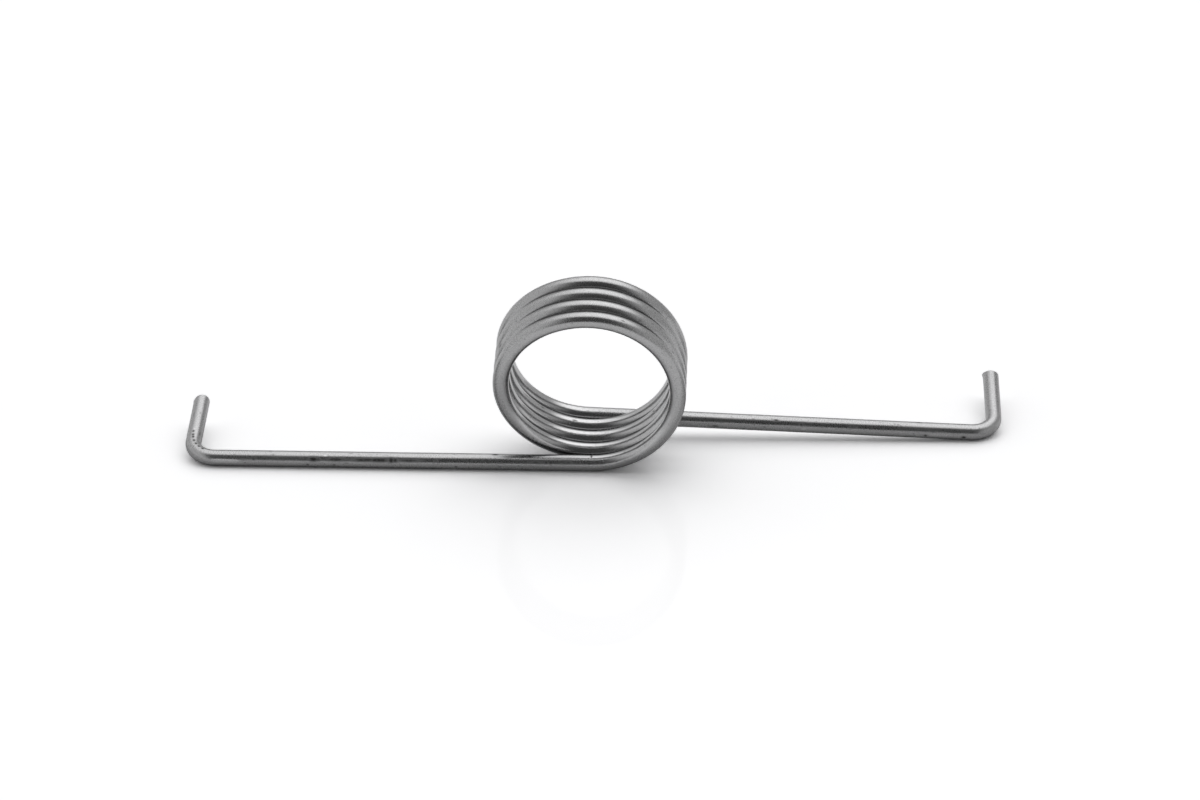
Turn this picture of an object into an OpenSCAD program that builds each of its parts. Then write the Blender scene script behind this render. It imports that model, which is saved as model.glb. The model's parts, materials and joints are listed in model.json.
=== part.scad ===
// Torsion spring of a hand grip exerciser: one round wire wound into four turns, with a straight leg at
// each end and a short hook bent square at the end of each leg. Both hooks point along the coil's axis, to
// its rear. The wire is drawn as ten zones that meet face to face. It lies on level ground as it does when
// set down: on its front leg and on the far end of its rear leg. The origin is the middle of the coil, on
// the coil's axis. +X runs along the front leg towards the rear leg's side, +Y runs from the front of the
// coil to its rear, and +Z is up.

/* [Wire] */
// Diameter of the spring wire
wire_d = 3.0; // [2:0.1:4]

/* [Coil] */
// Inside diameter of the coil
coil_inner_d = 29.4; // [20:0.2:50]
// Open gap between neighbouring turns
turn_gap = 0.47; // [0.05:0.01:1.5]

/* [Legs] */
// Straight length of the front leg, from below the coil's axis to its hook bend
front_leg_l = 70.0; // [40:0.2:120]
// Straight length of the rear leg, from the coil to its hook bend
rear_leg_l = 71.5; // [40:0.2:120]
// Angle that the rear leg falls short of pointing straight away from the front leg
rear_leg_droop = 2.5; // [0.5:0.1:6]

/* [Hooks] */
// Radius of each hook bend at the middle of the wire
bend_r = 4.5; // [2.6:0.1:8]
// Angle the wire turns through in each hook bend
bend_angle = 90; // [80:1:120]
// Straight length of the front hook beyond its bend
front_hook_l = 12.1; // [4:0.1:25]
// Straight length of the rear hook beyond its bend
rear_hook_l = 12.9; // [4:0.1:25]
// Angle by which the hooks rise from the direction of the coil's axis towards the top of the coil
hook_lift = 0; // [-10:1:90]

/* [Hidden] */
$fn = 64;

steel = "#8c8f92";
turns = 4;
half_turns = 2 * turns;
pitch = wire_d + turn_gap;
coil_l = turns * pitch;
coil_r = (coil_inner_d + wire_d) / 2;

// Each half turn is a flat half circle, tipped so that it climbs half a pitch along the axis. Its two ends
// point along X, so it runs smoothly into the next half turn, which is tipped the other way.
half_turn_r = sqrt(pow(coil_r, 2) + pow(pitch / 4, 2));
half_turn_tip = atan(pitch / 4 / coil_r);
last_half_sweep = 180 - rear_leg_droop;

// Angles from straight above each leg, in its own half turn's plane, round to its hook.
front_hook_turn = 90 - half_turn_tip - hook_lift;
rear_hook_turn = 90 + half_turn_tip - hook_lift;

// The spring leans until the far end of the drooping rear leg is as low as the front leg. That end is
// rear_drop below the centre of its half turn, measured in the half turn's own plane.
rear_drop = half_turn_r * cos(rear_leg_droop) + rear_leg_l * sin(rear_leg_droop);
rest_rise = rear_drop * cos(half_turn_tip) - coil_r;
rest_run = coil_l - pitch / 4 + rear_drop * sin(half_turn_tip);
rest_tilt = atan(rest_rise / rest_run);

// Puts its children in the flat frame of half turn i, counted from the front: the half circle is centred
// on the origin, starts on the X axis and runs towards +Y.
module in_half_turn(i) {
    side = i % 2 == 0 ? -1 : 1;
    translate([0, (i + 0.5) * pitch / 2 - coil_l / 2, 0])
        rotate([90 + side * half_turn_tip, 0, 0])
            rotate([0, 0, side * 90])
                children();
}

// Wire bent round the Z axis, starting on the X axis.
module wire_arc(r, angle) {
    rotate_extrude(angle = angle)
        translate([r, 0])
            circle(d = wire_d);
}

// Straight wire along +Z.
module wire_bar(l) {
    cylinder(d = wire_d, h = l);
}

// Frames at the outer ends of the coil. +Z follows the leg away from the coil, and -X points from the
// leg towards the coil's axis.
module at_front_leg() {
    in_half_turn(0)
        translate([half_turn_r, 0, 0])
            rotate([90, 0, 0])
                children();
}

module at_rear_leg() {
    in_half_turn(half_turns - 1)
        rotate([0, 0, last_half_sweep])
            translate([half_turn_r, 0, 0])
                rotate([-90, 0, 0])
                    children();
}

// Frame at the far end of a leg, with +X pointing the way that its hook bend turns.
module at_bend(leg_l, hook_turn) {
    translate([0, 0, leg_l])
        rotate([0, 0, 180 + hook_turn])
            children();
}

// Wire that starts along +Z and bends towards +X.
module bend_wire() {
    translate([bend_r, 0, 0])
        rotate([90, 0, 180])
            wire_arc(bend_r, bend_angle);
}

// Frame at the end of such a bend, with +Z along the wire.
module after_bend() {
    translate([bend_r * (1 - cos(bend_angle)), 0, bend_r * sin(bend_angle)])
        rotate([0, bend_angle, 0])
            children();
}

// One full turn of the coil, counted from 1 at the front.
module coil_turn(n) {
    first = 2 * (n - 1);
    in_half_turn(first)
        wire_arc(half_turn_r, 180);
    in_half_turn(first + 1)
        wire_arc(half_turn_r, n == turns ? last_half_sweep : 180);
}

// Sets the whole spring down on level ground.
module resting() {
    color(steel)
        rotate([rest_tilt, 0, 0])
            children();
}

module front_leg() {
    resting()
        at_front_leg()
            wire_bar(front_leg_l);
}

module front_bend() {
    resting()
        at_front_leg()
            at_bend(front_leg_l, front_hook_turn)
                bend_wire();
}

module front_hook() {
    resting()
        at_front_leg()
            at_bend(front_leg_l, front_hook_turn)
                after_bend()
                    wire_bar(front_hook_l);
}

module coil_turn_1() {
    resting()
        coil_turn(1);
}

module coil_turn_2() {
    resting()
        coil_turn(2);
}

module coil_turn_3() {
    resting()
        coil_turn(3);
}

module coil_turn_4() {
    resting()
        coil_turn(4);
}

module rear_leg() {
    resting()
        at_rear_leg()
            wire_bar(rear_leg_l);
}

module rear_bend() {
    resting()
        at_rear_leg()
            at_bend(rear_leg_l, -rear_hook_turn)
                bend_wire();
}

module rear_hook() {
    resting()
        at_rear_leg()
            at_bend(rear_leg_l, -rear_hook_turn)
                after_bend()
                    wire_bar(rear_hook_l);
}

front_hook();
front_bend();
front_leg();
coil_turn_1();
coil_turn_2();
coil_turn_3();
coil_turn_4();
rear_leg();
rear_bend();
rear_hook();
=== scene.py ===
"""A bare torsion spring of drawn steel wire, lying on a white studio floor.

The wire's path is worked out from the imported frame: the ends of the two legs, the two hook mounts and the
bore of the coil. One skin is grown along that path, marked with the pits and scrapes of real wire, and cut
into one closed piece for each CAD node.
"""

import json
import math

import bpy
import numpy as np
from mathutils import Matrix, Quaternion, Vector


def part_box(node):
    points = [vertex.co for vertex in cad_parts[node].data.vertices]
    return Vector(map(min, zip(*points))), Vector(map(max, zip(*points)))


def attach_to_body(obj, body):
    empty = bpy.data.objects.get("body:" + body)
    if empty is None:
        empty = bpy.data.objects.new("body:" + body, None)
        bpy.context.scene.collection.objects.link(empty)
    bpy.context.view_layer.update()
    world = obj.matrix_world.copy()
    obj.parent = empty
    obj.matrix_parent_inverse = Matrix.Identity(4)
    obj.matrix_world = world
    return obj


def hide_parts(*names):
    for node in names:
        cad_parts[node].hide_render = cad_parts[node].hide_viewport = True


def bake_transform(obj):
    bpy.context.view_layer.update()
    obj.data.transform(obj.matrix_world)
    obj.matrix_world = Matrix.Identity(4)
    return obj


MM = 0.001
SEED = 11

# Camera: where it stands round the spring, how high it looks down from, its lens and what it looks at.
CAMERA_AZIMUTH = math.radians(2.97)
CAMERA_ELEVATION = math.radians(27.2)
CAMERA_ROLL = math.radians(-0.58)
CAMERA_DISTANCE = 641.4 * MM
CAMERA_LENS_MM = 105.0
SENSOR_MM = 36.0
AIM_RIGHT_OF_COIL = 1.87 * MM
AIM_ABOVE_FLOOR = 14.64 * MM
NEAREST_SEEN = 0.01
FURTHEST_SEEN = 50.0

# Studio light by direction: a soft panel overhead, dimmer at its left end, and fainter light from the left,
# the right and the back. The camera sees the backdrop white.
PANEL_LIGHT = 1.30
PANEL_LEFT = 0.36
LEFT_LIGHT = 0.55
RIGHT_LIGHT = 0.40
BACK_LIGHT = 0.38
DARK_LIGHT = 0.05
BACKDROP_SEEN = 1.02

# Where each light fades. The panel's front and back edges and the light from the back go by the angle up and
# over from the front, the panel's left and right edges by the angle from overhead to the right, and the light
# from the left and right by the sideways share of the direction.
PANEL_FRONT_FADE = (math.radians(62), math.radians(83))
PANEL_BACK_FADE = (math.radians(134), math.radians(162))
PANEL_LEFT_FADE = (math.radians(-64), math.radians(8))
PANEL_RIGHT_FADE = (math.radians(25), math.radians(63))
BACK_FADE = (math.radians(125), math.radians(160))
LEFT_FADE = (0.20, 0.70)
RIGHT_FADE = (0.25, 0.75)

# Floor: how bright the camera sees it, how bright the steel mirrors it below the coil's middle and further to
# the front and rear, and how much of the spring the camera sees reflected in it.
FLOOR_HALF_SIZE = 6.0
BOARD_SEEN = 1.65
BOARD_NEAR = 0.56
BOARD_FAR = 0.95
BOARD_FADE = (8 * MM, 24 * MM)
BOARD_GLOSS = 0.07
BOARD_GLOSS_ROUGHNESS = 0.015

# Rings of the skin: how far apart they are and how many points each has.
RING_STEP = 0.2 * MM
AROUND = 64

# Bends are pressed a little oval, over this share of their length either side of the middle.
BEND_OVAL = 0.025
BEND_OVAL_REACH = 0.6

# Swells of drawn wire: how many times each goes round the wire and its height in mm. The spacing along the
# wire, in rings, is shorter for those that go round more often.
SWELLS = [(1, 0.006), (2, 0.006), (3, 0.004), (5, 0.0025)]
SWELL_SPACING = (22, 26)
SWELL_SPACING_LEAST = 8

# Wear of the coil: rubbed bright inside and a little outside. Painted shade: a dark colour where neighbouring
# turns face each other. The facings are cosines, from none to full. The painted shade starts one pitch in
# from the coil's end, where another turn lies alongside, and is full at GAP_FULL_PITCH pitches.
OUTSIDE_SHINE = 0.18
INSIDE_FACING = (0.0, 0.7)
WEAR_FADE = 6 * MM
GAP_PAINTED_SHADE = 0.45
GAP_SHADE_FACING = 0.94
GAP_SHADE_OUTWARD = (-0.1, 0.3)
GAP_FULL_PITCH = 1.3

# Sheared tips: depth and rows of the rolled edge, rows of the face, the burr, and how far up the hook the
# cut is felt.
EDGE_ROLL = 0.32 * MM
EDGE_STEPS = 6
CAP_STEPS = 9
BURR_HEIGHT = 0.14 * MM
BURR_LENGTH = 0.45 * MM
BURR_SHARPNESS = 6
TIP_REACH = 2.0 * MM

# Torn half of a cut face: where it starts across the face, how softly, and its roughness, depth and grime.
TEAR_EDGE = 0.1
TEAR_BLEND = 0.12
TEAR_HEIGHT = 0.03 * MM
TEAR_DEPTH = 0.06 * MM
TEAR_GRIME = 0.35
SMOOTH_HALF_ROUGHNESS = 0.12

# Each tip: slope of its cut towards the top and the left, turn of its burr in radians, and length cut off.
TIPS = {
    "front_hook": (0.26, -0.16, 0.35, 0.30 * MM),
    "rear_hook": (-0.16, 0.06, -0.1, 0.12 * MM),
}

# Pits strewn at random: how many in each mm of wire, then least width in mm and how much wider, how much
# longer than wide, depth as a share of width, and soil.
PITS_PER_MM = {"front_leg": 1.5, "rear_leg": 1.3, "front_hook": 1.0, "rear_hook": 0.9}
COIL_PITS_PER_MM = 0.6
BEND_PITS_PER_MM = 1.2
PIT_WIDTH = (0.16, 0.26)
PIT_STRETCH = 2.6
PIT_DEPTH = (0.03, 0.06)
PIT_SOIL = (0.15, 0.75)

# Scrapes of the bending tool over the front bend: zone, share of the first one, spacing and how many. Each
# has the same length, width and depth in mm and soil, and faces up, leaning to the front and to one side.
SCRAPES = [("front_hook", 0.89, 0.08, 2), ("front_bend", 0.05, 0.15, 5)]
SCRAPE_SIZE = (0.55, 0.40, 0.040, 1.0)
SCRAPE_LEAN_FRONT = -0.15
SCRAPE_LEAN_SIDE = -0.06
SCRAPE_LEAN_SIDE_STEP = 0.05

# A dent is felt this many of its own lengths away, and its soil is this much steeper than the dent.
MARK_REACH = 1.6
SOIL_STEEPNESS = 1.5

# Neutral greys have this many times as much blue as red.
COOLNESS = 1.004

# Steel: its darkest and lightest grey, plain and rubbed, and the colours laid over that and how strongly.
PLAIN_GREYS = (0.36, 0.68)
RUBBED_GREYS = (0.52, 0.80)
SPECK_GREY = 0.14
SPECK_SHARE = 0.55
SPECK_EDGE = (0.70, 0.78)
CUT_GREY = 0.60
CUT_SHARE = 0.6
# Soil of pits and cut faces, and painted shade in the coil's gaps: their colour, how the grain breaks them
# up, and how much they hide the metal.
SOIL_AND_SHADE_COLOUR = (0.018, 0.017, 0.016, 1.0)
SOIL_AND_SHADE_BY_GRAIN = (0.30, 0.55, 0.6, 1.0)
SOIL_AND_SHADE_HIDE_METAL = 0.8

# Painted shade: steel seen mirrored, mostly inside the coil, is darkened towards this grey, standing in for
# the shade between the turns, and less where it is rubbed bright.
MIRRORED_GREY = 0.08
MIRRORED_SHARE = 0.95
MIRRORED_LESS_BY_SHINE = 0.40

# Textures of the steel: cells in each mm along the wire and twice across it, then detail and roughness.
TEXTURES = {
    "grain": ((4.0, 4.0, 4.0), 4.0, 0.66),
    "lines": ((0.06, 4.2, 4.2), 3.0, 0.6),
    "hair": ((0.25, 14.0, 14.0), 2.0, 0.5),
    "patches": ((0.10, 0.45, 0.45), 3.0, 0.55),
    "specks": ((1.3, 2.6, 2.6), 1.0, 0.4),
}

# How strongly each texture or kind of wear changes the tone, the roughness and the relief of the steel.
TONE_BY = {"grain": 1.7, "lines": 0.35, "patches": 0.30}
ROUGHNESS = 0.22
ROUGHNESS_BY_GRAIN = 0.14
ROUGHNESS_BY_PATCHES = 0.12
ROUGHNESS_BY = {"shine": -0.10, "soil": 0.30, "cut": 0.14}
RELIEF_BY = {"grain": 0.6, "lines": 0.8, "hair": 0.35}
RELIEF_STRENGTH = 0.5
RELIEF_HEIGHT = 0.012 * MM

# Too small to matter: decimals kept when points are compared, and the least turn and area.
SAME_POINT_DIGITS = 7
NO_TURN = 1e-18
NO_AREA = 1e-14

BENDS = ("front_bend", "rear_bend")
COIL_PREFIX = "coil_turn_"

# Ways that marks and cuts face.
UP = np.array((0.0, 0.0, 1.0))
TO_LEFT = np.array((-1.0, 0.0, 0.0))
TO_CAMERA = np.array((0.0, -math.cos(CAMERA_ELEVATION), math.sin(CAMERA_ELEVATION)))
TO_FRONT_LOW = np.array((0.0, -0.95, -0.3))
TO_REAR_TOP = np.array((0.0, 0.5, 0.87))
TO_FRONT = np.array((0.0, -1.0, -0.1))
TO_FRONT_HIGH = np.array((0.0, -1.0, 0.12))
TO_TOP_FRONT = np.array((0.0, -0.5, 0.87))


# ----------------------------------------------------------------------------------- path of the wire


def unit(vector):
    """The vector at length one."""
    return np.asarray(vector, float) / np.linalg.norm(vector)


def mount(record, name):
    """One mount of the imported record, by name."""
    return next(m for m in record["mounts"] if m["name"] == name)


def rim_centres(node):
    """Centres of the two end faces of a straight leg node, the one at low X first."""
    points = np.array([v.co for v in node.data.vertices], float)
    points = np.unique(points.round(SAME_POINT_DIGITS), axis=0)
    middle = (points[:, 0].min() + points[:, 0].max()) / 2
    low = points[points[:, 0] < middle]
    high = points[points[:, 0] >= middle]
    return low.mean(0), high.mean(0)


def line(start, end):
    """Points and tangents along a straight stretch."""
    length = np.linalg.norm(end - start)
    share = np.linspace(0, 1, max(2, round(length / RING_STEP) + 1))[:, None]
    return start + (end - start) * share, np.tile(unit(end - start), (len(share), 1))


def arc(centre, start, tangent, sweep):
    """Points and tangents along an arc that leaves start along tangent."""
    out = start - centre
    radius = np.linalg.norm(out)
    angle = np.linspace(0, sweep, max(2, round(sweep * radius / RING_STEP) + 1))[:, None]
    points = centre + out * np.cos(angle) + tangent * radius * np.sin(angle)
    return points, tangent * np.cos(angle) - out / radius * np.sin(angle)


def bend(start, tangent, end, end_tangent):
    """The arc that joins two straight stretches."""
    sweep = math.acos(np.clip(tangent @ end_tangent, -1, 1))
    radius = np.linalg.norm(end - start) / (2 * math.sin(sweep / 2))
    inward = unit(end_tangent - tangent * (tangent @ end_tangent))
    return arc(start + inward * radius, start, tangent, sweep)


def backwards(stretch):
    """The same stretch, run the other way."""
    points, tangents = stretch
    return points[::-1], -tangents[::-1]


def coil_turns(bore, wire_r, start, tangent, rear_leg_start, turns):
    """The turns of the coil. Each is two flat half circles, tipped so that they climb along the axis."""
    axis = unit(bore["axis"])
    length = bore["dims"]["length_mm"] * MM - 2 * wire_r
    climb = length / (2 * turns)
    stretches = []
    for turn in range(turns):
        halves = []
        for half in (0, 1):
            step = 2 * turn + half
            centre = np.array(bore["pos_m"]) + axis * (climb * (step + 0.5) - length / 2)
            sweep = math.pi
            if step == 2 * turns - 1:
                out = unit(start - centre)
                reach = rear_leg_start - centre
                sweep = math.atan2(reach @ tangent, reach @ out)
            halves.append(arc(centre, start, tangent, sweep))
            start = 2 * centre - start
            tangent = -tangent
        points = np.vstack([halves[0][0], halves[1][0][1:]])
        tangents = np.vstack([halves[0][1], halves[1][1][1:]])
        stretches.append((points, tangents))
    return stretches


def wire_path(frame):
    """Every stretch of the wire as (node, points, tangents), from the front hook's tip to the rear one's."""
    record = frame["record"]
    front_pin, rear_pin, bore = (mount(record, n) for n in ("front_hook", "rear_hook", "coil_bore"))
    wire_r = front_pin["dims"]["r_mm"] * MM
    front_far, front_near = rim_centres(frame["nodes"]["front_leg"])
    rear_near, rear_far = rim_centres(frame["nodes"]["rear_leg"])

    def hook_ends(pin):
        half = unit(pin["axis"]) * pin["dims"]["length_mm"] * MM / 2
        return np.array(pin["pos_m"]) - half, np.array(pin["pos_m"]) + half

    front_base, front_tip = hook_ends(front_pin)
    rear_base, rear_tip = hook_ends(rear_pin)
    front_out = unit(front_far - front_near)
    rear_out = unit(rear_far - rear_near)
    turns = sum(name.startswith(COIL_PREFIX) for name in frame["nodes"])
    coil = coil_turns(bore, wire_r, front_near, -front_out, rear_near, turns)
    path = [
        ("front_hook", *line(front_tip, front_base)),
        ("front_bend", *backwards(bend(front_far, front_out, front_base, unit(front_pin["axis"])))),
        ("front_leg", *line(front_far, front_near)),
    ]
    path += [(COIL_PREFIX + str(i + 1), *stretch) for i, stretch in enumerate(coil)]
    path += [
        ("rear_leg", *line(rear_near, rear_far)),
        ("rear_bend", *bend(rear_far, rear_out, rear_base, unit(rear_pin["axis"]))),
        ("rear_hook", *line(rear_base, rear_tip)),
    ]
    return path, wire_r


def carried_normals(points, tangents):
    """A direction square to the wire at each point, carried along without twisting (double reflection)."""
    normals = np.zeros_like(points)
    normals[0] = unit(np.cross(tangents[0], (1.0, 0.0, 0.0)))
    for i in range(len(points) - 1):
        step = points[i + 1] - points[i]
        square = step @ step
        normal = normals[i] - step * (2 / square) * (step @ normals[i])
        tangent = tangents[i] - step * (2 / square) * (step @ tangents[i])
        turn = tangents[i + 1] - tangent
        size = turn @ turn
        if size > NO_TURN:
            normal = normal - turn * (2 / size) * (turn @ normal)
        normals[i + 1] = unit(normal - tangents[i + 1] * (normal @ tangents[i + 1]))
    return normals


class Wire:
    """The whole wire as rings: where each ring is, which way it faces and how far along the wire it lies."""

    def __init__(self, path, wire_r):
        self.radius = wire_r
        self.zones = {}
        points, tangents = [], []
        count = 0
        for name, stretch, directions in path:
            skip = 0 if not points else 1
            points.append(stretch[skip:])
            tangents.append(directions[skip:])
            first = max(0, count - 1)
            count += len(stretch) - skip
            self.zones[name] = (first, count - 1)
        self.points = np.vstack(points)
        self.tangents = np.vstack(tangents)
        self.normals = carried_normals(self.points, self.tangents)
        self.sides = np.cross(self.tangents, self.normals)
        steps = np.linalg.norm(np.diff(self.points, axis=0), axis=1)
        self.along = np.concatenate([[0], np.cumsum(steps)])
        self.angles = np.arange(AROUND) * 2 * math.pi / AROUND

    def place(self, zone, share):
        """Distance along the wire of a place in a zone, with share 0 at its start and 1 at its end."""
        first, last = self.zones[zone]
        return self.along[first] + share * (self.along[last] - self.along[first])

    def angle_facing(self, distance, direction):
        """The angle round the wire, at a distance along it, that faces a direction."""
        ring = min(int(np.searchsorted(self.along, distance)), len(self.along) - 1)
        return math.atan2(self.sides[ring] @ direction, self.normals[ring] @ direction)

    def outward(self, rings):
        """The direction straight out of the wire at every angle of some rings."""
        across = self.normals[rings][:, None, :] * np.cos(self.angles)[None, :, None]
        return across + self.sides[rings][:, None, :] * np.sin(self.angles)[None, :, None]

    def coil_zones(self):
        """The names of the coil's turns, from the front."""
        return [name for name in self.zones if name.startswith(COIL_PREFIX)]


# ---------------------------------------------------------------------------------- marks on the wire

# Marks that stand out: zone, share of the zone, facing, length, width and depth in mm, and soil from 0 to 1.
NAMED_MARKS = [
    ("front_leg", 0.266, TO_CAMERA, 1.5, 0.80, 0.045, 1.0),
    ("front_leg", 0.278, TO_CAMERA, 1.0, 0.50, 0.030, 0.9),
    ("front_leg", 0.325, TO_CAMERA, 2.8, 0.56, 0.022, 0.95),
    ("front_leg", 0.345, TO_CAMERA, 0.8, 0.34, 0.020, 0.7),
    ("front_leg", 0.405, TO_CAMERA, 4.4, 0.54, 0.025, 0.95),
    ("front_leg", 0.440, TO_CAMERA, 3.6, 0.66, 0.030, 1.0),
    ("front_leg", 0.473, TO_CAMERA, 0.8, 0.90, 0.045, 1.0),
    ("front_leg", 0.484, TO_CAMERA, 0.8, 0.66, 0.035, 0.95),
    ("front_leg", 0.520, TO_CAMERA, 3.6, 0.46, 0.020, 0.85),
    ("front_leg", 0.592, TO_CAMERA, 0.7, 0.34, 0.025, 0.8),
    ("front_leg", 0.855, TO_CAMERA, 1.6, 0.36, 0.025, 0.85),
    ("front_leg", 0.884, TO_CAMERA, 0.4, 0.44, 0.035, 1.0),
    ("front_leg", 0.251, TO_FRONT_LOW, 0.4, 0.36, 0.030, 0.95),
    ("front_leg", 0.321, TO_FRONT_LOW, 0.5, 0.30, 0.030, 0.8),
    ("front_leg", 0.645, TO_FRONT_LOW, 0.5, 0.34, 0.030, 0.85),
    ("front_leg", 0.282, TO_REAR_TOP, 1.5, 0.34, 0.025, 0.95),
    ("front_leg", 0.748, UP, 0.9, 0.46, 0.035, 0.9),
    ("rear_leg", 0.329, TO_FRONT_LOW, 1.1, 0.40, 0.040, 0.7),
    ("rear_leg", 0.554, TO_CAMERA, 0.5, 0.50, 0.050, 1.0),
    ("rear_leg", 0.690, TO_CAMERA, 1.2, 0.34, 0.020, 0.8),
    ("rear_leg", 0.881, TO_FRONT_LOW, 0.5, 0.50, 0.045, 1.0),
    ("rear_leg", 0.981, TO_FRONT_LOW, 0.7, 0.56, 0.050, 1.0),
    ("coil_turn_1", 0.002, UP, 0.30, 1.2, 0.050, 1.0),
]

# Bare metal rubbed bright and a little flat: zone, share, facing, length, width and depth in mm, and shine.
RUBBED_MARKS = [
    ("front_leg", 0.032, TO_FRONT_HIGH, 5.2, 0.80, 0.030, 1.0),
    ("front_hook", 0.900, UP, 1.8, 0.34, 0.012, 1.0),
    ("front_leg", 0.298, TO_TOP_FRONT, 0.5, 0.40, 0.020, 1.0),
    ("rear_leg", 0.562, TO_FRONT, 1.0, 0.34, 0.015, 0.9),
    ("rear_leg", 0.920, TO_FRONT, 4.0, 0.50, 0.010, 0.6),
]


def bend_scrape_marks():
    """A row of small dents where a bending tool dragged over the top of the front hook's bend."""
    marks = []
    for zone, first, spacing, count in SCRAPES:
        for i in range(count):
            side = SCRAPE_LEAN_SIDE + SCRAPE_LEAN_SIDE_STEP * len(marks)
            marks.append((zone, first + spacing * i, unit((side, SCRAPE_LEAN_FRONT, 1.0)), *SCRAPE_SIZE))
    return marks


def scattered_marks(wire, rng):
    """Small pits strewn along the wire, thick on the legs and thin on the coil."""
    densities = dict(PITS_PER_MM)
    densities.update((turn, COIL_PITS_PER_MM) for turn in wire.coil_zones())
    densities.update((zone, BEND_PITS_PER_MM) for zone in BENDS)
    marks = []
    for zone, per_mm in densities.items():
        marks += pits_in(wire, rng, zone, per_mm)
    return marks


def pits_in(wire, rng, zone, per_mm):
    """Random pits in one zone, as (distance, angle, length, width, depth, soil)."""
    start, end = wire.place(zone, 0), wire.place(zone, 1)
    pits = []
    for _ in range(round((end - start) / MM * per_mm)):
        width = PIT_WIDTH[0] + PIT_WIDTH[1] * rng.random() ** 3
        stretch = 1 + PIT_STRETCH * rng.random() ** 2
        place = start + (end - start) * rng.random()
        depth = width * (PIT_DEPTH[0] + PIT_DEPTH[1] * rng.random())
        soil = PIT_SOIL[0] + PIT_SOIL[1] * rng.random() ** 2
        pits.append((place, 2 * math.pi * rng.random(), width * stretch, width, depth, soil))
    return pits


def placed(wire, marks):
    """The marks with zone, share and facing turned into a distance along the wire and an angle round it."""
    return [
        (wire.place(zone, share), wire.angle_facing(wire.place(zone, share), facing), *size)
        for zone, share, facing, *size in marks
    ]


def within_mark(wire, rings, place, angle, length, width):
    """How far along and across a mark some rings' points lie, in multiples of half its size."""
    along = (wire.along[rings, None] - place) / (length * MM / 2)
    turn = (wire.angles[None, :] - angle + math.pi) % (2 * math.pi) - math.pi
    return along, turn * wire.radius / (width * MM / 2)


def stamp_marks(wire, marks):
    """Depth of every mark, in metres, and soil, over the rings and angles of the wire."""
    depth = np.zeros((len(wire.along), AROUND))
    soil = np.zeros_like(depth)
    for place, angle, length, width, deep, dirt in marks:
        reach = MARK_REACH * length * MM
        rings = slice(*np.searchsorted(wire.along, (place - reach, place + reach)))
        along, across = within_mark(wire, rings, place, angle, length, width)
        bowl = np.exp(-(along**2) - across**2)
        depth[rings] += bowl * deep * MM
        soil[rings] = np.maximum(soil[rings], dirt * np.clip(SOIL_STEEPNESS * bowl, 0, 1))
    return depth, soil


def stamp_rubs(wire, marks):
    """Depth of every rubbed mark, in metres, and its shine, over the rings and angles of the wire."""
    depth = np.zeros((len(wire.along), AROUND))
    shine = np.zeros_like(depth)
    for place, angle, length, width, deep, bright in marks:
        along, across = within_mark(wire, slice(None), place, angle, length, width)
        patch = np.exp(-(along**8) - across**4)
        depth += patch * deep * MM
        shine = np.maximum(shine, bright * patch)
    return depth, shine


def ease(value, low, high):
    """Zero below low, one above high and smooth between."""
    t = np.clip((value - low) / (high - low), 0, 1)
    return t * t * (3 - 2 * t)


def coil_wear_and_gap_shade(wire, bore):
    """Shine of the coil, strongest inside where the winding mandrel rubbed it, and painted shade in its gaps.
    """
    axis = unit(bore["axis"])
    reach = bore["dims"]["length_mm"] * MM / 2 - wire.radius
    turns = wire.coil_zones()
    pitch = 2 * reach / len(turns)
    offset = wire.points - np.array(bore["pos_m"])
    height = offset @ axis
    inward = -(offset - height[:, None] * axis)
    inward /= np.linalg.norm(inward, axis=1, keepdims=True)
    out = wire.outward(slice(None))
    facing_in = np.einsum("rak,rk->ra", out, inward)
    facing_rear = out @ axis
    start, end = wire.place(turns[0], 0), wire.place(turns[-1], 1)
    on_coil = ease(wire.along, start - WEAR_FADE, start + WEAR_FADE)
    on_coil = (on_coil * ease(-wire.along, -end - WEAR_FADE, -end + WEAR_FADE))[:, None]
    shine = on_coil * (OUTSIDE_SHINE + (1 - OUTSIDE_SHINE) * ease(facing_in, *INSIDE_FACING))
    # Painted shade: a dark colour where the wire faces a neighbouring turn, in the gaps between the turns.
    touching, clear = pitch - reach, pitch * GAP_FULL_PITCH - reach
    has_next = ease(-height, touching, clear)[:, None]
    has_last = ease(height, touching, clear)[:, None]
    near = ease(facing_rear, GAP_SHADE_FACING, 1.0) * has_next
    near = near + ease(-facing_rear, GAP_SHADE_FACING, 1.0) * has_last
    return shine, on_coil * near * ease(-facing_in, *GAP_SHADE_OUTWARD) * GAP_PAINTED_SHADE


def smooth_noise(rng, rings, spacing):
    """Smooth random values along the wire, one random value each spacing rings, between -1 and 1."""
    knots = rng.uniform(-1, 1, rings // spacing + 3)
    x = np.arange(rings) / spacing
    cell = x.astype(int)
    blend = ease(x - cell, 0, 1)
    return knots[cell] * (1 - blend) + knots[cell + 1] * blend


def waviness(wire, rng):
    """Faint unevenness of drawn wire: low swells along it, a few thousandths of a millimetre high."""
    rings = len(wire.along)
    swell = np.zeros((rings, AROUND))
    for lobes, height in SWELLS:
        a, b = (smooth_noise(rng, rings, rate // lobes + SWELL_SPACING_LEAST) for rate in SWELL_SPACING)
        around = a[:, None] * np.cos(lobes * wire.angles) + b[:, None] * np.sin(lobes * wire.angles)
        swell += height * MM * around
    return swell


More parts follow.
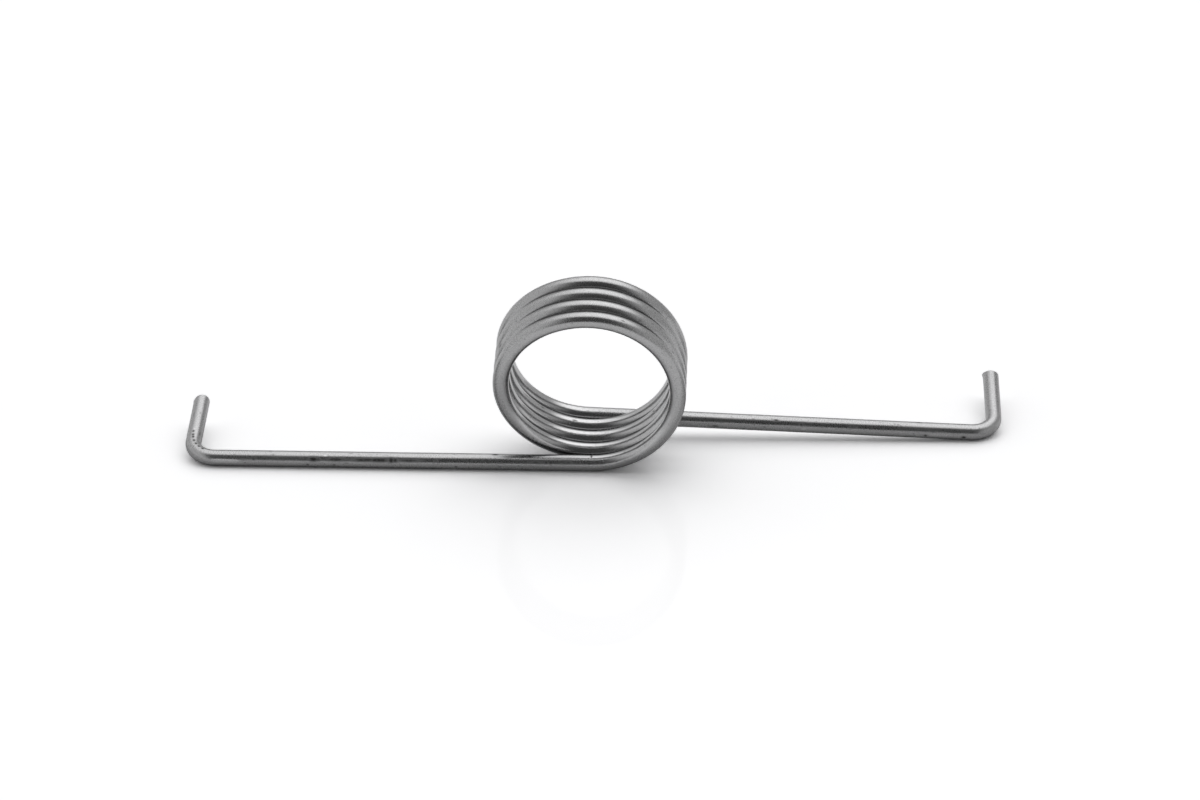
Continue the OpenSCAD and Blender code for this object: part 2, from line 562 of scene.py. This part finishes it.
def bend_flattening(wire):
    """The bends are pressed a little oval: thinner from inside to outside, and wider the other way."""
    change = np.zeros((len(wire.along), AROUND))
    for zone in BENDS:
        first, last = wire.zones[zone]
        middle = (first + last) // 2
        chord = wire.points[first] + wire.points[last] - 2 * wire.points[middle]
        inside = wire.angle_facing(wire.along[middle], unit(chord))
        reach = BEND_OVAL_REACH * (wire.along[last] - wire.along[first])
        amount = BEND_OVAL * np.exp(-(((wire.along - wire.along[middle]) / reach) ** 2))
        change -= wire.radius * amount[:, None] * np.cos(2 * (wire.angles - inside))[None, :]
    return change


# ----------------------------------------------------------------------------------- skin of the wire


class Skin:
    """The surface of the wire: a row of points for each ring, and more rows over the two cut tips.

    Its grids hold, for each point, the radius, the shift along the wire, the distance along the wire, and
    soil with painted shade in the coil's gaps, shine and cut.
    """

    def __init__(self, wire, bore, rng):
        marks = placed(wire, NAMED_MARKS + bend_scrape_marks()) + scattered_marks(wire, rng)
        depth, soil = stamp_marks(wire, marks)
        rubbed, shine = stamp_rubs(wire, placed(wire, RUBBED_MARKS))
        # The coil's shine, and painted shade in the gaps between its turns, which joins the soil grid.
        coil_shine, gap_shade = coil_wear_and_gap_shade(wire, bore)
        self.wire = wire
        self.row_ring = list(range(len(wire.along)))
        self.zone_rows = {name: list(range(first, last + 1)) for name, (first, last) in wire.zones.items()}
        self.grids = {
            "radius": wire.radius + waviness(wire, rng) + bend_flattening(wire) - depth - rubbed,
            "shift": np.zeros_like(depth),
            "along": np.repeat(wire.along[:, None], AROUND, axis=1),
            "soil": np.maximum(soil, gap_shade),
            "shine": np.maximum(shine, coil_shine),
            "cut": np.zeros_like(depth),
        }
        self.add_tip("front_hook", 0, rng)
        self.add_tip("rear_hook", len(wire.along) - 1, rng)
        self.build()

    def add_tip(self, zone, ring, rng):
        """Shears one end of the wire: a tilted cut with a rolled edge on one side and a burr on the other."""
        wire = self.wire
        way = -1 if ring == 0 else 1
        end = wire.along[ring]
        tilt_up, tilt_left, burr_turn, trim = TIPS[zone]
        from_top = wire.angles - wire.angle_facing(end, UP)
        from_left = wire.angles - wire.angle_facing(end, TO_LEFT)
        slope = tilt_up * np.cos(from_top) + tilt_left * np.cos(from_left)
        across = np.cos(from_left - burr_turn)
        burr = np.clip(across, 0, 1) ** BURR_SHARPNESS
        along = self.grids["along"]
        near = ease(1 - np.abs(along - end) / TIP_REACH, 0, 1)
        self.grids["shift"] += way * near * (slope * wire.radius - EDGE_ROLL * (1 - burr) - trim)[None, :]
        close = np.exp(-(((along - end) / BURR_LENGTH) ** 2))
        self.grids["radius"] += close * burr[None, :] * BURR_HEIGHT
        self.insert_rows(zone, ring, self.tip_rows(slope, burr, across, way, trim, rng))

    def tip_rows(self, slope, burr, across, way, trim, rng):
        """Radius, shift, cut and soil of rows over the rolled edge and the cut face, in to its middle.

        The half of the face on the burr's side is torn and dull, and the other half is smooth.
        """
        wire_r = self.wire.radius
        roll = EDGE_ROLL * (1 - burr)
        clean = np.zeros(AROUND)
        rows = []
        for step in range(1, EDGE_STEPS + 1):
            share = step / EDGE_STEPS
            angle = share * math.pi / 2
            radius = wire_r + burr * BURR_HEIGHT * (1 - share) - roll * (1 - math.cos(angle))
            lip = burr * BURR_HEIGHT * math.sin(2 * angle)
            shift = slope * radius - roll * (1 - math.sin(angle)) - trim + lip
            rows.append((radius, way * shift, np.full(AROUND, share), clean))
        rim = rows[-1][0]
        for step in range(1, CAP_STEPS + 1):
            share = 1 - step / CAP_STEPS
            middle = share <= 0
            torn = clean if middle else ease(across * share, TEAR_EDGE - TEAR_BLEND, TEAR_EDGE + TEAR_BLEND)
            rough = TEAR_HEIGHT * rng.normal(size=AROUND) * (not middle) * (SMOOTH_HALF_ROUGHNESS + torn)
            shift = way * (slope * rim * share - trim - TEAR_DEPTH * torn) + rough
            rows.append((rim * share, shift, np.ones(AROUND), TEAR_GRIME * torn))
        return rows

    def insert_rows(self, zone, ring, extra):
        """Adds the rows of a tip before the first row or after the last."""
        count = len(extra)
        columns = (np.array(column) for column in zip(*extra))
        added = dict(zip(("radius", "shift", "cut", "soil"), columns))
        added["shine"] = np.zeros((count, AROUND))
        added["along"] = np.full((count, AROUND), self.wire.along[ring])
        at_start = ring == 0
        for name, rows in added.items():
            grid = self.grids[name]
            self.grids[name] = np.vstack([rows[::-1], grid] if at_start else [grid, rows])
        first = len(self.row_ring)
        if at_start:
            first = 0
            self.zone_rows = {name: [row + count for row in rows] for name, rows in self.zone_rows.items()}
        self.row_ring[first:first] = [ring] * count
        self.zone_rows[zone] = sorted(self.zone_rows[zone] + list(range(first, first + count)))

    def build(self):
        """Works out the place, normal and wire coordinate of every point of the skin."""
        wire = self.wire
        ring = np.array(self.row_ring)
        radius, shift = self.grids["radius"], self.grids["shift"]
        self.place = (
            wire.points[ring][:, None, :]
            + wire.outward(ring) * radius[:, :, None]
            + wire.tangents[ring][:, None, :] * shift[:, :, None]
        )
        around = np.roll(self.place, -1, axis=1) - np.roll(self.place, 1, axis=1)
        length = np.gradient(self.place, axis=0)
        normal = np.cross(around, length)
        size = np.linalg.norm(normal, axis=2, keepdims=True)
        outermost = wire.tangents[ring] * np.where(ring < len(wire.along) // 2, -1, 1)[:, None]
        self.normal = np.where(size > NO_AREA, normal / np.maximum(size, NO_AREA), outermost[:, None, :])
        across = (radius * np.cos(wire.angles)[None, :], radius * np.sin(wire.angles)[None, :])
        self.coordinate = np.stack([self.grids["along"] + shift, *across], axis=2) / MM


# --------------------------------------------------------------------------------------------- pieces


def ring_edges(row):
    """The two points of every edge round a row of points."""
    return [(row * AROUND + column, row * AROUND + (column + 1) % AROUND) for column in range(AROUND)]


def wall(rows, normals):
    """The faces between neighbouring rows of points, and the normal of each of their corners."""
    faces = [(a, b, b + AROUND, a + AROUND) for row in range(rows - 1) for a, b in ring_edges(row)]
    return faces, [normals[v] for face in faces for v in face]


def end_cap(row, hub, way, outward, normals, is_flat):
    """A fan of faces that shuts one end of a piece, and the normal of each of their corners.

    A flat end is where two zones meet. The other kind is the middle of a sheared tip.
    """
    faces = [(hub, a, b) if way > 0 else (hub, b, a) for a, b in ring_edges(row)]
    corners = []
    for _, a, b in faces:
        corners += [outward, outward, outward] if is_flat else [outward, normals[a], normals[b]]
    return faces, corners


def piece_from_rows(name, skin, rows):
    """One closed piece of wire: the skin over some rows, shut at both ends."""
    ends = (rows[0], rows[-1])
    is_flat = [not np.allclose(skin.grids["radius"][end], 0) for end in ends]
    body = rows[0 if is_flat[0] else 1 : len(rows) if is_flat[1] else -1]
    normals = skin.normal[body].reshape(-1, 3)
    faces, corners = wall(len(body), normals)
    for i, (row, way) in enumerate(((0, -1), (len(body) - 1, 1))):
        outward = way * skin.wire.tangents[skin.row_ring[ends[i]]]
        cap = end_cap(row, len(normals) + i, way, outward, normals, is_flat[i])
        faces += cap[0]
        corners += cap[1]
    mesh = bpy.data.meshes.new(name)
    mesh.from_pydata(with_hubs(skin.place, body, ends).tolist(), [], faces)
    mesh.polygons.foreach_set("use_smooth", [True] * len(mesh.polygons))
    add_attribute(mesh, "wire_coord", "FLOAT_VECTOR", with_hubs(skin.coordinate, body, ends))
    at_hubs = {"soil": (0, 0), "shine": (0, 0), "cut": [not flat for flat in is_flat]}
    for key, hubs in at_hubs.items():
        add_attribute(mesh, key, "FLOAT", np.concatenate([skin.grids[key][body].ravel(), hubs]))
    mesh.normals_split_custom_set([tuple(corner) for corner in corners])
    piece = bpy.data.objects.new(name, mesh)
    bpy.context.scene.collection.objects.link(piece)
    return piece


def with_hubs(grid, body, ends):
    """A grid of vectors over the rows of a piece, as one list with the middles of its two end rows last."""
    return np.vstack([grid[body].reshape(-1, 3), [grid[end].mean(0) for end in ends]])


def add_attribute(mesh, name, kind, values):
    """Stores one value for each vertex."""
    attribute = mesh.attributes.new(name, kind, "POINT")
    key = "vector" if kind == "FLOAT_VECTOR" else "value"
    attribute.data.foreach_set(key, np.asarray(values, np.float32).ravel())


# ------------------------------------------------------------------------------------------ materials


class Nodes:
    """Short calls for building a node tree."""

    def __init__(self, tree):
        self.tree = tree
        tree.nodes.clear()

    def put(self, socket, value):
        """Links another node's output to an input, or sets the input to a value."""
        if isinstance(value, bpy.types.NodeSocket):
            self.tree.links.new(value, socket)
        else:
            socket.default_value = value

    def add(self, kind, inputs=None, **settings):
        """A node with its settings and its inputs, each a value or another node's output."""
        node = self.tree.nodes.new(kind)
        for key, value in settings.items():
            setattr(node, key, value)
        for key, value in (inputs or {}).items():
            self.put(node.inputs[key], value)
        return node

    def math(self, operation, a, b=0.0, clamp=False):
        """The output of a Math node."""
        return self.add("ShaderNodeMath", {0: a, 1: b}, operation=operation, use_clamp=clamp).outputs[0]

    def times(self, a, b):
        """The product of two values."""
        return self.math("MULTIPLY", a, b)

    def centred(self, value):
        """A texture's value, from -0.5 to 0.5 in place of 0 to 1."""
        return self.math("SUBTRACT", value, 0.5)

    def total(self, start, terms):
        """A start value plus some outputs, each times its own weight."""
        for value, weight in terms:
            start = self.math("ADD", start, self.times(value, weight))
        return start

    def ramp(self, value, low, high, to_low=0.0, to_high=1.0):
        """The value from low to high, mapped smoothly to a range of outputs."""
        inputs = {0: value, 1: low, 2: high, 3: to_low, 4: to_high}
        return self.add("ShaderNodeMapRange", inputs, interpolation_type="SMOOTHSTEP").outputs[0]

    def texture(self, vector, scales, detail, roughness):
        """The output of a Noise texture over the vector with each axis scaled."""
        scaled = self.add("ShaderNodeMapping", {"Vector": vector, "Scale": scales}).outputs[0]
        inputs = {"Vector": scaled, "Scale": 1.0, "Detail": detail, "Roughness": roughness}
        return self.add("ShaderNodeTexNoise", inputs).outputs[0]

    def mix(self, share, a, b):
        """A blend of two colours. Input 0 is the share, and inputs 6 and 7 are the colours."""
        return self.add("ShaderNodeMix", {0: share, 6: a, 7: b}, data_type="RGBA").outputs[2]


def new_material(name):
    """An empty material and the calls for building its nodes."""
    material = bpy.data.materials.new(name)
    material.use_nodes = True
    return material, Nodes(material.node_tree)


def grey(level):
    """A neutral colour."""
    return (level, level, level * COOLNESS, 1.0)


def steel_values(n):
    """What the steel is mixed from: the textures, the wear and painted gap shade stored on the skin and what
    ray looks at it.
    """
    place = n.add("ShaderNodeAttribute", attribute_name="wire_coord").outputs["Vector"]
    values = {name: n.texture(place, *settings) for name, settings in TEXTURES.items()}
    for name in ("soil", "shine", "cut"):
        values[name] = n.add("ShaderNodeAttribute", attribute_name=name).outputs["Fac"]
    values["mirrored"] = n.add("ShaderNodeLightPath").outputs["Is Glossy Ray"]
    # Soil, and painted shade in the coil's gaps, broken up by the grain.
    values["dirt"] = n.times(values["soil"], n.ramp(values["grain"], *SOIL_AND_SHADE_BY_GRAIN))
    return values


def steel_colour(n, values):
    """Mottled grey, lighter where it is rubbed, with dark specks, soil, painted shade in the coil's gaps, and
    painted shade where steel is seen mirrored.
    """
    tone = n.total(0.0, [(n.centred(values[name]), weight) for name, weight in TONE_BY.items()])
    tone = n.math("ADD", tone, 0.5, clamp=True)
    plain, rubbed = (n.mix(tone, *map(grey, greys)) for greys in (PLAIN_GREYS, RUBBED_GREYS))
    colour = n.mix(values["shine"], plain, rubbed)
    specks = n.times(n.ramp(values["specks"], *SPECK_EDGE), SPECK_SHARE)
    colour = n.mix(specks, colour, grey(SPECK_GREY))
    colour = n.mix(n.times(values["cut"], CUT_SHARE), colour, grey(CUT_GREY))
    # Painted shade: steel seen in reflections is darkened towards MIRRORED_GREY, less where it is rubbed.
    less = n.times(values["shine"], MIRRORED_LESS_BY_SHINE)
    darkened = n.times(values["mirrored"], n.math("SUBTRACT", MIRRORED_SHARE, less))
    colour = n.mix(darkened, colour, grey(MIRRORED_GREY))
    # Soil and painted gap shade darken the steel towards the same near-black.
    return n.mix(values["dirt"], colour, SOIL_AND_SHADE_COLOUR)


def steel_roughness(n, values):
    """Satin, smoother where it is rubbed and rougher where it is soiled, in the painted gap shade, or cut."""
    terms = [(values["grain"], ROUGHNESS_BY_GRAIN), (n.centred(values["patches"]), ROUGHNESS_BY_PATCHES)]
    terms += [(values[name], weight) for name, weight in ROUGHNESS_BY.items()]
    return n.total(ROUGHNESS, terms)


def steel_relief(n, values):
    """Bumps of the grain and the draw lines, too fine for the mesh."""
    height = n.total(0.0, [(values[name], weight) for name, weight in RELIEF_BY.items()])
    inputs = {"Strength": RELIEF_STRENGTH, "Distance": RELIEF_HEIGHT, "Height": height}
    return n.add("ShaderNodeBump", inputs).outputs[0]


def steel_material():
    """Drawn spring steel: satin grey with lengthwise draw lines, mottling, darker patches, soiled pits and
    painted shade in the coil's gaps.
    """
    material, n = new_material("drawn_spring_steel")
    values = steel_values(n)
    inputs = {
        "Base Color": steel_colour(n, values),
        # Soil and painted gap shade are less metallic.
        "Metallic": n.math("SUBTRACT", 1.0, n.times(values["dirt"], SOIL_AND_SHADE_HIDE_METAL)),
        "Roughness": steel_roughness(n, values),
        "Normal": steel_relief(n, values),
    }
    surface = n.add("ShaderNodeBsdfPrincipled", inputs).outputs[0]
    n.add("ShaderNodeOutputMaterial", {"Surface": surface})
    return material


def floor_material():
    """Glossy white board. The camera sees it burnt out to white, while the steel mirrors it less bright."""
    material, n = new_material("white_board")
    seen = n.add("ShaderNodeLightPath").outputs["Is Camera Ray"]
    place = n.add("ShaderNodeNewGeometry").outputs["Position"]
    beyond = n.math("ABSOLUTE", n.add("ShaderNodeSeparateXYZ", {0: place}).outputs[1])
    mirrored = n.mix(n.ramp(beyond, *BOARD_FADE), grey(BOARD_NEAR), grey(BOARD_FAR))
    colour = n.mix(seen, mirrored, grey(BOARD_SEEN))
    board = n.add("ShaderNodeBsdfDiffuse", {"Color": colour}).outputs[0]
    polish = {"Color": grey(1.0), "Roughness": BOARD_GLOSS_ROUGHNESS}
    gloss = n.add("ShaderNodeBsdfGlossy", polish).outputs[0]
    mixed = n.add("ShaderNodeMixShader", {0: n.times(seen, BOARD_GLOSS), 1: board, 2: gloss}).outputs[0]
    n.add("ShaderNodeOutputMaterial", {"Surface": mixed})
    return material


# --------------------------------------------------------------------------------------------- studio


def panel_light(n, over, aside):
    """Light of the overhead panel, by the angles over from the front and from overhead to the right."""
    light = n.ramp(over, *PANEL_FRONT_FADE)
    light = n.times(light, n.ramp(over, *PANEL_BACK_FADE, 1.0, 0.0))
    light = n.times(light, n.ramp(aside, *PANEL_LEFT_FADE, PANEL_LEFT, 1.0))
    light = n.times(light, n.ramp(aside, *PANEL_RIGHT_FADE, 1.0, 0.0))
    return n.times(light, PANEL_LIGHT)


def room_light(n, over, x):
    """Fainter light of the room: whichever is brightest of the back, the left and the right."""
    back = n.ramp(over, *BACK_FADE, DARK_LIGHT, BACK_LIGHT)
    left = n.ramp(n.times(x, -1.0), *LEFT_FADE, 0.0, LEFT_LIGHT)
    right = n.ramp(x, *RIGHT_FADE, 0.0, RIGHT_LIGHT)
    return n.math("MAXIMUM", back, n.math("MAXIMUM", left, right))


def studio_world():
    """White to the camera. To everything else, a soft overhead panel over a dim room."""
    world = bpy.data.worlds.new("studio")
    bpy.context.scene.world = world
    world.use_nodes = True
    n = Nodes(world.node_tree)
    direction = n.add("ShaderNodeTexCoord").outputs["Generated"]
    x, y, z = n.add("ShaderNodeSeparateXYZ", {0: direction}).outputs
    over = n.math("ARCTAN2", z, n.times(y, -1.0))
    aside = n.math("ARCTAN2", x, z)
    light = n.math("MAXIMUM", room_light(n, over, x), panel_light(n, over, aside))
    seen = n.add("ShaderNodeLightPath").outputs["Is Camera Ray"]
    unseen = n.math("SUBTRACT", 1.0, seen)
    strength = n.math("ADD", n.times(light, unseen), n.times(seen, BACKDROP_SEEN))
    background = n.add("ShaderNodeBackground", {"Color": grey(1.0), "Strength": strength})
    n.add("ShaderNodeOutputWorld", {"Surface": background.outputs[0]})


def add_floor(level):
    """A wide white floor under the spring."""
    half = FLOOR_HALF_SIZE
    corners = [(-half, -half, level), (half, -half, level), (half, half, level), (-half, half, level)]
    mesh = bpy.data.meshes.new("floor")
    mesh.from_pydata(corners, [], [(0, 1, 2, 3)])
    mesh.materials.append(floor_material())
    floor = bpy.data.objects.new("floor", mesh)
    bpy.context.scene.collection.objects.link(floor)


def add_camera(leg_y, level):
    """A long lens a little to the right of the spring, looking down on it."""
    aim = Vector((AIM_RIGHT_OF_COIL, leg_y, level + AIM_ABOVE_FLOOR))
    back = Vector(
        (
            math.sin(CAMERA_AZIMUTH) * math.cos(CAMERA_ELEVATION),
            -math.cos(CAMERA_AZIMUTH) * math.cos(CAMERA_ELEVATION),
            math.sin(CAMERA_ELEVATION),
        )
    )
    data = bpy.data.cameras.new("camera")
    data.lens = CAMERA_LENS_MM
    data.sensor_width = SENSOR_MM
    data.clip_start = NEAREST_SEEN
    data.clip_end = FURTHEST_SEEN
    camera = bpy.data.objects.new("camera", data)
    camera.rotation_mode = "QUATERNION"
    camera.location = aim + back * CAMERA_DISTANCE
    camera.rotation_quaternion = Quaternion(back, CAMERA_ROLL) @ back.to_track_quat("Z", "Y")
    bpy.context.scene.collection.objects.link(camera)
    bpy.context.scene.camera = camera


# ------------------------------------------------------------------------------------------- assembly


def attach(piece, name, record):
    """Hides the CAD part and puts a piece on its body. Coil turns are only baked in place, on no body."""
    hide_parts(name)
    if name.startswith(COIL_PREFIX):
        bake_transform(piece)
        return
    bodies = record["behaviour"]["bodies"]
    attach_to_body(piece, next(body for body, nodes in bodies.items() if name in nodes))


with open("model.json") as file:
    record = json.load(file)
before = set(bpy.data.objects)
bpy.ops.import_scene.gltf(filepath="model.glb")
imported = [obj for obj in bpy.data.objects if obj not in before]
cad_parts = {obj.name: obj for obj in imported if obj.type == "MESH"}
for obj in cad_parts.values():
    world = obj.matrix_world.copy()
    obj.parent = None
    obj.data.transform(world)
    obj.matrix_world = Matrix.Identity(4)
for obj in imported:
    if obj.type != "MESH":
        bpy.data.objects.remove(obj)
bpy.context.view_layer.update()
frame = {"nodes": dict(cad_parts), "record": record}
record = frame["record"]
rng = np.random.default_rng(SEED)

path, wire_radius = wire_path(frame)
bore = mount(record, "coil_bore")
skin = Skin(Wire(path, wire_radius), bore, rng)
steel = steel_material()

# The winding is spread over the coil less one whole wire at each end, measured from the coil's middle.
for node_name, rows in skin.zone_rows.items():
    part = piece_from_rows("wire_" + node_name, skin, rows)
    part.data.materials.append(steel)
    attach(part, node_name, record)

leg_low, leg_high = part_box("front_leg")
add_floor(leg_low.z)
add_camera((leg_low.y + leg_high.y) / 2, leg_low.z)
studio_world()
bpy.context.scene.view_settings.view_transform = "Standard"
